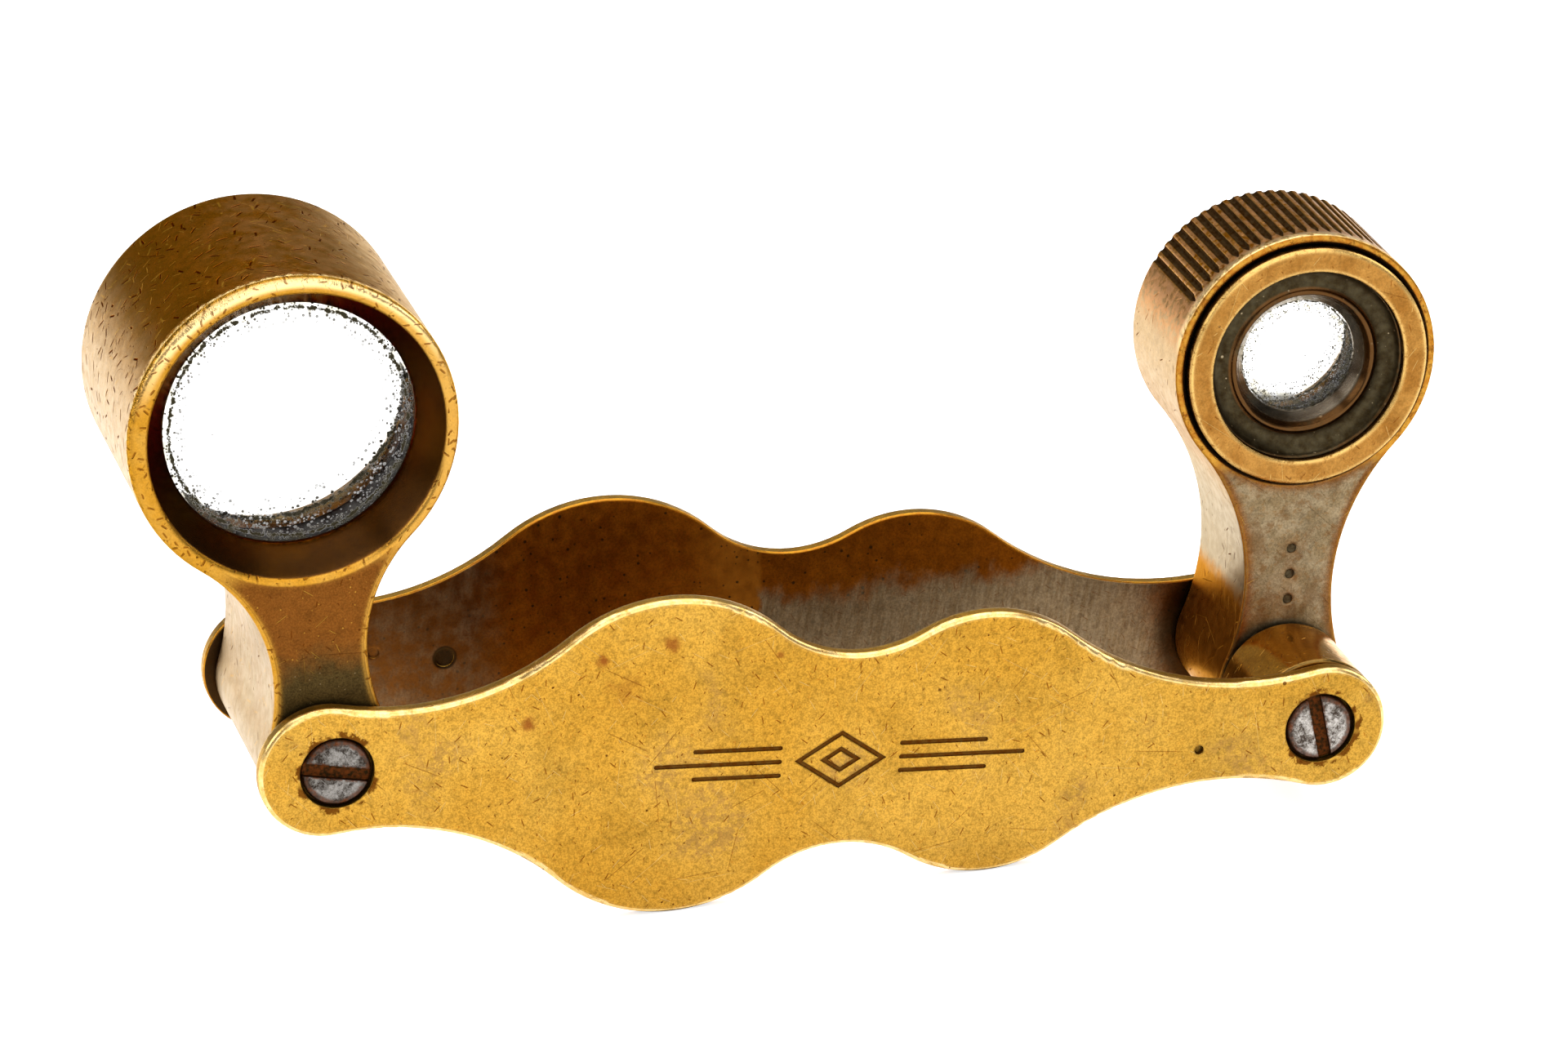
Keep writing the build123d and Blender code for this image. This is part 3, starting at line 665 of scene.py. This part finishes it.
def small_arm_places(s):
    """The masks and distances that the small arm's finish is laid out by."""
    at = SimpleNamespace()
    lens_x, lens_z = middle("small_lens_cell")
    hinge_x, hinge_z = middle("small_pivot_post")
    at.front = depths("small_arm")[0]
    at.dots = (hinge_x + 0.45, hinge_z + 7.3, 1.3, 3.0)
    at.from_lens = s.radius((lens_x, lens_z))
    at.from_hinge = s.radius((hinge_x, hinge_z))
    at.head = s.smooth(at.from_hinge, 14.2, 16.4)
    at.face = s.smooth(s.facing, -0.75, -0.95)
    wall = s.smooth(s.maths("ABSOLUTE", s.facing), 0.7, 0.3)
    groove = s.smooth(at.from_lens, SMALL_HEAD - 0.01, SMALL_HEAD - 0.06)
    at.flute = s.both(wall, groove, s.smooth(at.from_lens, SMALL_HEAD - 0.5, SMALL_HEAD - 0.4))
    upper = s.both(wall, s.smooth(s.z, lens_z + 1.0, lens_z + 3.0), s.outside(at.flute))
    at.land = s.both(upper, s.smooth(s.noise(0.4, 5.0), 0.38, 0.55))
    shallow = s.smooth(s.y, at.front + 0.9, at.front + 0.3)
    at.tips = s.both(upper, shallow, s.smooth(at.from_lens, SMALL_HEAD - 0.2, SMALL_HEAD - 0.1))
    return at


def small_arm_oxide(s, at):
    """The small arm's oxide, grey where the painted sheen lies on the neck's walls, brown low down where the
    walls are in shade, and a mask of those walls.
    """
    colour, wall_sheen = oxide(s, 5.0)
    ragged = s.maths("ADD", at.from_hinge, s.some(s.noise(0.8, 5.0, 0.6), 1.2))
    low = s.smooth(ragged, 7.6, 6.4)
    wall_sheen = s.both(wall_sheen, s.outside(low))
    # Grey where the painted sheen lies on the walls near the hinge.
    colour = s.colours(s.both(wall_sheen, s.smooth(at.from_hinge, 15.5, 13.0), 0.8), colour, TARNISH_AND_SHEEN)
    low_wall = s.both(s.smooth(s.maths("ABSOLUTE", s.facing), 0.5, 0.2), low)
    return s.colours(s.some(low_wall, 0.9), colour, PATINA_SHADED), wall_sheen


def small_neck_tarnish(s, at):
    """Where the neck's face is tarnished grey, inside its edges, and the colour there."""
    inland = s.outside(s.edges(1.3, 0.03))
    inland = s.smooth(s.maths("ADD", inland, s.some(s.noise(0.8, 5.0, 0.65), 0.8)), 0.55, 1.05)
    grey = grain(s, s.colours(cloudy(s, 1.4), TARNISH_DARK, TARNISH_AND_SHEEN), 0.3)
    grey = s.colours(s.some(s.smooth(s.noise(0.45, 6.0, 0.7), 0.52, 0.62), 0.4), grey, SMUDGE)
    grey = s.colours(s.some(s.smooth(s.noise(1.8, 5.0, 0.65), 0.5, 0.62), 0.42), grey, PATINA_NECK)
    near_hinge = s.smooth(s.maths("ADD", at.from_hinge, s.some(s.noise(1.2, 5.0), 2.5)), 7.0, 5.0)
    grey = s.colours(s.some(near_hinge, 0.35), grey, TARNISH_GREEN)
    return s.both(at.face, s.outside(at.head), inland), grey


def small_arm_wear(s, at):
    """The worn front rim of the head and, more faintly, every corner."""
    corner = s.either(s.fillet(), s.edges(0.5, 0.08))
    rim = s.either(corner, s.smooth(s.facing, -0.2, -0.6))
    rim = s.both(rim, s.smooth(at.from_lens, SMALL_HEAD + 0.1, SMALL_HEAD), at.head)
    return s.either(rim, s.some(corner, 0.5))


def small_arm_brass():
    """The small arm: rubbed oxide, dark flutes between coppery lands, and a grey neck with dots."""
    s = Shade("small_arm_brass_old")
    at = small_arm_places(s)
    dark, bright = scratches(s)
    pits = s.either(s.specks(0.8, 0.06, 0.5), s.specks(2.3, 0.13, 0.4))
    colour, wall_sheen = small_arm_oxide(s, at)
    colour = s.colours(s.some(bright, 0.45), colour, GOLD)
    colour = s.colours(s.some(dark, 0.75), colour, UMBER)
    tarnish, grey = small_neck_tarnish(s, at)
    colour = s.colours(s.some(tarnish, 0.92), colour, grey)
    cut, near = engraved(s, at.front, at.dots)
    chipped = s.smooth(s.noise(0.4, 6.0, 0.65), 0.3, 0.5)
    worn = s.both(small_arm_wear(s, at), chipped, s.outside(near), s.outside(tarnish))
    colour = s.colours(s.some(at.land, 0.85), colour, COPPER)
    colour = s.colours(s.some(worn, 0.75), colour, s.colours(cloudy(s, 0.5), PATINA_LIGHT, GOLD_RIM))
    colour = s.colours(s.some(s.both(at.tips, chipped), 0.85), colour, GOLD_CHIPPED_AND_HIGHLIGHT)
    colour = s.colours(s.some(pits, 0.7), colour, UMBER)
    # Dirt and painted shade in the corners, the flutes and the engraved dots.
    dirt = s.either(s.dirt_and_shade_in_crevices(0.6, 0.75, 0.35), at.flute, cut)
    colour = s.colours(s.some(dirt, 0.9), colour, s.colours(cloudy(s, 0.3), GRIME_AND_SHADE, BLACKENED_AND_SHADE))
    roughness = s.numbers(worn, s.numbers(cloudy(s, 0.6), 0.3, 0.4), 0.25)
    roughness = s.numbers(s.either(dirt, tarnish), roughness, 0.48)
    tint = s.colours(s.either(dark, pits, at.flute), s.colours(s.either(wall_sheen, at.land), WARM, PALE), DIM)
    battered = s.some(s.both(s.noise(0.45, 3.0, 0.6), at.tips), 0.12)
    height = s.maths("ADD", relief(s, 0.016, dark, bright, pits), battered)
    return s.finish(colour, roughness, height, tint, 0.3)


def turned_brass(name, light, deep, wear, polish, rounding=0.16, shaded_ends=0.0):
    """Handled turned brass. Wear is how bright its edges are, polish its lowest roughness, and shaded ends
    how much painted shade darkens its end faces.
    """
    s = Shade(name)
    dark, bright = scratches(s)
    pits = s.specks(0.7, 0.06, 0.5)
    colour = grain(s, s.colours(cloudy(s, 2.5), deep, light), 0.22)
    colour = s.colours(s.some(s.smooth(s.noise(0.2, 5.0, 0.7), 0.54, 0.64), 0.5), colour, deep)
    colour = s.colours(s.some(bright, 0.5), colour, GOLD_WORN)
    colour = s.colours(s.some(dark, 0.65), colour, PATINA_DARK)
    chipped = s.smooth(s.noise(0.4, 6.0, 0.65), 0.3, 0.5)
    worn = s.both(s.either(s.fillet(), s.edges(0.5, 0.08)), chipped)
    colour = s.colours(s.some(worn, wear), colour, GOLD_WORN)
    colour = s.colours(s.some(pits, 0.7), colour, UMBER)
    # Painted shade on the end faces, where the piece meets its neighbours.
    ends = s.some(s.smooth(s.maths("ABSOLUTE", s.facing), 0.15, 0.5), shaded_ends)
    # Dirt and painted shade in the corners and grooves, and the painted shade on the ends.
    dirt = s.either(s.dirt_and_shade_in_crevices(0.7, 0.75, 0.35), ends)
    colour = s.colours(s.some(dirt, 0.75), colour, GRIME_AND_SHADE)
    roughness = s.numbers(worn, s.numbers(cloudy(s, 0.5), polish, polish + 0.1), polish)
    return s.finish(colour, roughness, relief(s, 0.01, dark, bright, pits), YELLOW, rounding)


def bead_and_funnel(s, bead):
    """Masks of the light shield's bead, which has this radius, and of the funnel inside it."""
    from_lens = s.radius(middle("small_light_shield"))
    crest = s.smooth(from_lens, bead - 0.5, bead - 0.3)
    crest = s.both(crest, s.smooth(from_lens, bead + 0.4, bead + 0.25))
    return crest, s.smooth(from_lens, bead - 0.35, bead - 0.5)


def blackened_brass(name, bead=None):
    """Black-brown flecked brass for the inside of the heads. Only the light shield has a bead."""
    s = Shade(name)
    flecks = s.either(s.specks(0.3, 0.06, 0.3), s.specks(0.8, 0.11, 0.3))
    colour = s.colours(s.smooth(s.noise(0.6, 5.0), 0.2, 0.8), GRIME_AND_SHADE, BLACKENED_AND_SHADE)
    colour = s.colours(s.some(s.smooth(s.noise(0.12, 4.0, 0.7), 0.4, 0.75), 0.35), colour, TARNISH_GREEN)
    colour = s.colours(s.some(flecks, 0.8 if bead else 0.3), colour, TARNISH_AND_SHEEN)
    worn = s.both(s.edges(0.2), s.smooth(s.noise(0.4, 5.0), 0.35, 0.55))
    colour = s.colours(s.some(worn, 0.45), colour, PATINA_NECK)
    roughness = s.numbers(worn, s.numbers(cloudy(s, 0.4), 0.34, 0.5), 0.28)
    if bead:
        crest, funnel = bead_and_funnel(s, bead)
        colour = s.colours(s.some(s.both(crest, cloudy(s, 1.5, 0.25, 0.5)), 0.75), colour, PATINA_NECK)
        colour = s.colours(s.some(funnel, 0.7), colour, FUNNEL)
        roughness = s.numbers(s.either(funnel, crest), roughness, 0.2)
    height = s.maths("ADD", s.some(s.noise(0.16, 5.0, 0.65), 0.006), s.some(flecks, 0.006))
    return s.finish(colour, roughness, height, PALE if bead else OLIVE)


def mottled_steel(s, dark, bright):
    """Patchy grey steel, darker at the large end."""
    patches = s.maths("ADD", s.noise(0.5, 7.0, 0.75), s.some(s.noise(1.6, 3.0), 0.5))
    colour = s.colours(s.smooth(patches, 0.66, 0.86), STEEL_DARK, STEEL)
    colour = s.colours(s.some(s.smooth(s.noise(0.16, 4.0, 0.7), 0.46, 0.62), 0.65), colour, STEEL_MIDDLE)
    colour = s.colours(s.some(bright, 0.5), colour, STEEL)
    colour = s.colours(s.some(dark, 0.6), colour, STEEL_DARK)
    colour = s.darker(s.smooth(s.x, 0.0, -1.0), colour, 0.52)
    # Painted shade and dirt in the steel's corners.
    return s.colours(s.some(s.dirt_and_shade_in_crevices(0.5), 0.7), colour, GRIME_AND_SHADE)


def screw_rims_and_shade(s, axes):
    """The dark ragged rims of the screw heads: rusty worn edges, and a ring of painted shade where each head
    sits in its recess.
    """
    ragged = s.maths("ADD", nearest(s, axes), s.some(s.noise(0.5, 5.0, 0.7), 0.7))
    worn = s.both(s.edges(0.3, 0.1), s.smooth(s.noise(0.3, 5.0), 0.4, 0.5))
    return s.either(s.smooth(ragged, 2.0, 2.2), worn)


def old_steel(name, heads=None):
    """Dull mottled steel. On screw heads with this (axes, face depth), dark rims and rusty slots."""
    s = Shade(name)
    dark, bright = scratches(s)
    colour = mottled_steel(s, dark, bright)
    roughness = s.numbers(cloudy(s, 0.4), 0.28, 0.45)
    if heads:
        axes, depth = heads
        rim = s.colours(cloudy(s, 0.4), STEEL_DARK, RUST)
        # Rusty worn rims, and painted shade round each head in its recess.
        colour = s.colours(s.some(screw_rims_and_shade(s, axes), 0.85), colour, rim)
        rust = s.smooth(s.y, depth + 0.06, depth + 0.16)
        colour = s.colours(rust, colour, s.colours(cloudy(s, 0.25), GRIME_AND_SHADE, RUST))
        roughness = s.numbers(rust, roughness, 0.6)
    height = s.maths("SUBTRACT", s.some(s.noise(0.3, 6.0, 0.7), 0.03), s.some(dark, 0.006))
    return s.finish(colour, roughness, height, NEUTRAL)


def chipped_line(s, distance, rim):
    """A broken dark line just inside the rim of a lens."""
    wander = s.some(s.noise(rim * 0.5, 2.0), rim * 0.06)
    aside = s.maths("ABSOLUTE", s.maths("SUBTRACT", s.maths("ADD", distance, wander), rim * 0.945))
    crowding = s.some(s.smooth(aside, rim * 0.045, 0.0), 0.385)
    return s.smooth(s.maths("ADD", s.noise(rim * 0.05, 6.0, 0.75), crowding), 0.78, 0.86)


def glass_dust(s, distance, rim, clear):
    """Crowded specks of dust towards the rim of a lens, and a few all over it."""
    zone = s.smooth(distance, clear * 0.7, clear)
    patchy = s.smooth(s.maths("ADD", s.noise(rim * 0.35, 3.0), s.some(zone, 0.25)), 0.48, 0.66)
    crowded = s.both(s.specks(rim * 0.026, rim * 0.014, 0.85), zone, patchy)
    return s.either(crowded, s.some(s.specks(rim * 0.3, rim * 0.014, 0.3), 0.7))


def old_glass(name, head, rim, clear):
    """Clear glass with a chipped dark line, dust and film round its clear middle, and a black edge."""
    s = Shade(name)
    distance = s.radius(head)
    ground = s.smooth(distance, rim - 0.06, rim - 0.02)
    solid = s.either(chipped_line(s, distance, rim), glass_dust(s, distance, rim, clear), ground)
    cloud = s.smooth(s.noise(rim * 0.1, 3.0, 0.5), 0.3, 0.7)
    film = s.some(s.both(s.smooth(distance, clear * 0.85, clear * 1.02), cloud), FILM)
    dirt = s.either(solid, film)
    colour = s.colours(s.smooth(film, 0.0, FILM), NEUTRAL, GLASS_FILM)
    colour = s.colours(ground, s.colours(solid, colour, GLASS_DIRT), GRIME_AND_SHADE)
    surface = s.add("ShaderNodeBsdfPrincipled")
    s.put(surface.inputs["Base Color"], colour)
    s.put(surface.inputs["Transmission Weight"], s.outside(dirt))
    s.put(surface.inputs["Roughness"], s.numbers(dirt, 0.01, 0.8))
    surface.inputs["Specular Tint"].default_value = (*OLIVE, 1.0)
    surface.inputs["IOR"].default_value = 1.5
    output = s.add("ShaderNodeOutputMaterial")
    s.put(output.inputs["Surface"], surface.outputs[0])
    return s.material


def circle(mesh, radius, y, axis):
    """The points of a circle about a front-to-back axis, or the one point at its centre."""
    if radius < 1e-6:
        return [mesh.verts.new((axis[0] * MM, y * MM, axis[1] * MM))]
    ring = []
    for step in range(ROUND_STEPS):
        angle = 2 * math.pi * step / ROUND_STEPS
        x = axis[0] + radius * math.cos(angle)
        z = axis[1] + radius * math.sin(angle)
        ring.append(mesh.verts.new((x * MM, y * MM, z * MM)))
    return ring


def band(mesh, near, far):
    """The faces between two circles, of which one may be a single point."""
    for step in range(ROUND_STEPS):
        following = (step + 1) % ROUND_STEPS
        if len(near) == 1:
            corners = (near[0], far[step], far[following])
        elif len(far) == 1:
            corners = (near[step], far[0], near[following])
        else:
            corners = (near[step], far[step], far[following], near[following])
        mesh.faces.new(corners)


def turned_solid(name, profile, axis):
    """A closed solid turned about a front-to-back axis, from (radius, y) points, centre to centre."""
    mesh = bmesh.new()
    circles = [circle(mesh, radius, y, axis) for radius, y in profile]
    for near, far in zip(circles, circles[1:]):
        band(mesh, near, far)
    bmesh.ops.recalc_face_normals(mesh, faces=mesh.faces)
    data = bpy.data.meshes.new(name)
    mesh.to_mesh(data)
    mesh.free()
    data.shade_smooth()
    data.set_sharp_from_angle(angle=math.radians(30))
    piece = bpy.data.objects.new(name, data)
    bpy.context.scene.collection.objects.link(piece)
    return piece


def lens_profile(front, rear, rim, curve):
    """Half the outline of a double convex lens with a small chamfer at each rim."""
    steps = 28
    chamfer = 0.12
    face = rim - chamfer
    sag = curve - math.sqrt(curve**2 - face**2)
    bulge = []
    for step in range(steps + 1):
        radius = face * step / steps
        bulge.append((radius, curve - math.sqrt(curve**2 - radius**2)))
    profile = [(radius, front + rise) for radius, rise in bulge]
    profile.append((rim, front + sag + chamfer))
    profile.append((rim, rear - sag - chamfer))
    profile += [(radius, rear - rise) for radius, rise in reversed(bulge)]
    return profile


def cemented_lens(size, curve, clear_share, body):
    """One lens that stands for the three cemented elements, clean out to this share of its rim."""
    nodes = [f"{size}_{part}_element" for part in ("front", "centre", "rear")]
    front = depths(nodes[0])[0]
    rear = depths(nodes[2])[1]
    low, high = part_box(nodes[1])
    rim = (high.x - low.x) / 2 / MM
    axis = middle(nodes[1])
    piece = turned_solid(f"{size}_lens_glass", lens_profile(front, rear, rim, curve), axis)
    piece.data.materials.append(old_glass(f"{size}_glass_old", axis, rim, rim * clear_share))
    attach(piece, body)
    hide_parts(*nodes)
    return piece


def dress(frame):
    """Puts the detailed finishes on the CAD nodes."""
    axes = (middle("large_pivot_post"), middle("small_pivot_post"))
    ring = turned_brass("ring_brass_old", PATINA_LIGHT, PATINA, 0.8, 0.28)
    finishes = {
        "front_plate": plate_brass("plate_brass_old", -1.0, FRONT_STAINS, axes, DRILLED_PIT, ORNAMENT),
        "rear_plate": plate_brass("rear_brass_old", 1.0, REAR_STAINS, axes, REAR_DIMPLE),
        "large_arm": large_arm_brass(),
        "small_arm": small_arm_brass(),
        "small_arm_spacer": turned_brass("spacer_brass_old", SPACER_LIGHT, SPACER_DEEP, 0.5, 0.16, 0.1, 1.0),
        "small_lens_cell": turned_brass("cell_brass_old", CELL_LIGHT, CELL_DEEP, 0.75, 0.26, 0.45),
        "small_light_shield": blackened_brass("shield_black_old", SHIELD_BEAD),
        "large_lens_cell": blackened_brass("cell_black_old"),
        "large_retaining_ring": ring,
        "small_retaining_ring": ring,
        "pivot_screws": old_steel("screw_steel_old", (axes, depths("pivot_screws")[0])),
    }
    steel = old_steel("pivot_steel_old")
    for end in ("large", "small"):
        finishes[f"{end}_pivot_post"] = steel
        for side in ("front", "rear"):
            finishes[f"{end}_{side}_washer"] = steel
    for name, finish in finishes.items():
        for slot in frame["nodes"][name].material_slots:
            slot.material = finish


def floor():
    """A wide plain white floor under the object."""
    half = 3.0
    data = bpy.data.meshes.new("floor")
    corners = [(-half, -half, 0), (half, -half, 0), (half, half, 0), (-half, half, 0)]
    data.from_pydata(corners, [], [(0, 1, 2, 3)])
    material = bpy.data.materials.new("floor_white")
    material.use_nodes = True
    surface = material.node_tree.nodes["Principled BSDF"]
    surface.inputs["Base Color"].default_value = (0.8, 0.8, 0.8, 1.0)
    surface.inputs["Emission Color"].default_value = (1.0, 1.0, 1.0, 1.0)
    surface.inputs["Emission Strength"].default_value = 0.6
    surface.inputs["Roughness"].default_value = 0.7
    surface.inputs["Specular IOR Level"].default_value = 0.2
    data.materials.append(material)
    piece = bpy.data.objects.new("floor", data)
    bpy.context.scene.collection.objects.link(piece)


def softbox(name, place, aim, size, power):
    """A square area light at this place, facing the aim point."""
    light = bpy.data.lights.new(name, "AREA")
    light.shape = "SQUARE"
    light.size = size
    light.energy = power
    lamp = bpy.data.objects.new(name, light)
    lamp.location = place
    facing = Vector(aim) - Vector(place)
    lamp.rotation_euler = facing.to_track_quat("-Z", "Y").to_euler()
    bpy.context.scene.collection.objects.link(lamp)


def studio():
    """Pale surroundings with large softboxes overhead, in front and at each side."""
    world = bpy.data.worlds.new("studio")
    world.use_nodes = True
    world.node_tree.nodes["Background"].inputs["Color"].default_value = (1.0, 1.0, 1.0, 1.0)
    world.node_tree.nodes["Background"].inputs["Strength"].default_value = 0.36
    bpy.context.scene.world = world
    softbox("overhead", (0.0, 0.1, 0.8), (0.0, 0.0, 0.0), 1.1, 10.5)
    softbox("front", (0.1, -0.95, 0.5), (0.0, 0.0, 0.02), 1.2, 9.0)
    softbox("left", (-0.8, 0.0, 0.45), (0.0, 0.0, 0.02), 0.5, 3.0)
    softbox("right", (0.8, 0.15, 0.45), (0.0, 0.0, 0.02), 0.5, 3.0)
    floor()


def camera(cad_box):
    """A long lens from the front left, a little above, with a slight roll."""
    azimuth = math.radians(-15.17)
    elevation = math.radians(22.44)
    roll = math.radians(-0.85)
    distance = 0.4549
    aim = (cad_box[0] + cad_box[1]) / 2 + Vector((0.0001, 0.0003, -0.0008))
    level = math.cos(elevation)
    back = Vector((math.sin(azimuth) * level, -math.cos(azimuth) * level, math.sin(elevation)))
    lens = bpy.data.cameras.new("camera")
    lens.lens = 171.17
    lens.sensor_width = 36.0
    eye = bpy.data.objects.new("camera", lens)
    turn = (-back).to_track_quat("-Z", "Y").to_matrix() @ Matrix.Rotation(roll, 3, "Z")
    eye.rotation_euler = turn.to_euler()
    eye.location = aim + back * distance
    bpy.context.scene.collection.objects.link(eye)
    bpy.context.scene.camera = eye
    bpy.context.scene.view_settings.view_transform = "Standard"


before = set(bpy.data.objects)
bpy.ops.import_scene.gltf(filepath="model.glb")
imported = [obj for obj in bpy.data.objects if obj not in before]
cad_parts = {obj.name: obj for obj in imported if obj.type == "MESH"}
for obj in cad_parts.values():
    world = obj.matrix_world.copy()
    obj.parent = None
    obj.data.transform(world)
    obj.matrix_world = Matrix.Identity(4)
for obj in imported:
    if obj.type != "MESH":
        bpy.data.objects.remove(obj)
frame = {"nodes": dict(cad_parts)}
cad_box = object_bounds()
dress(frame)
cemented_lens("large", LARGE_LENS_CURVE, 0.93, "large_arm")
cemented_lens("small", SMALL_LENS_CURVE, 0.8, "small_arm")
studio()
camera(cad_box)
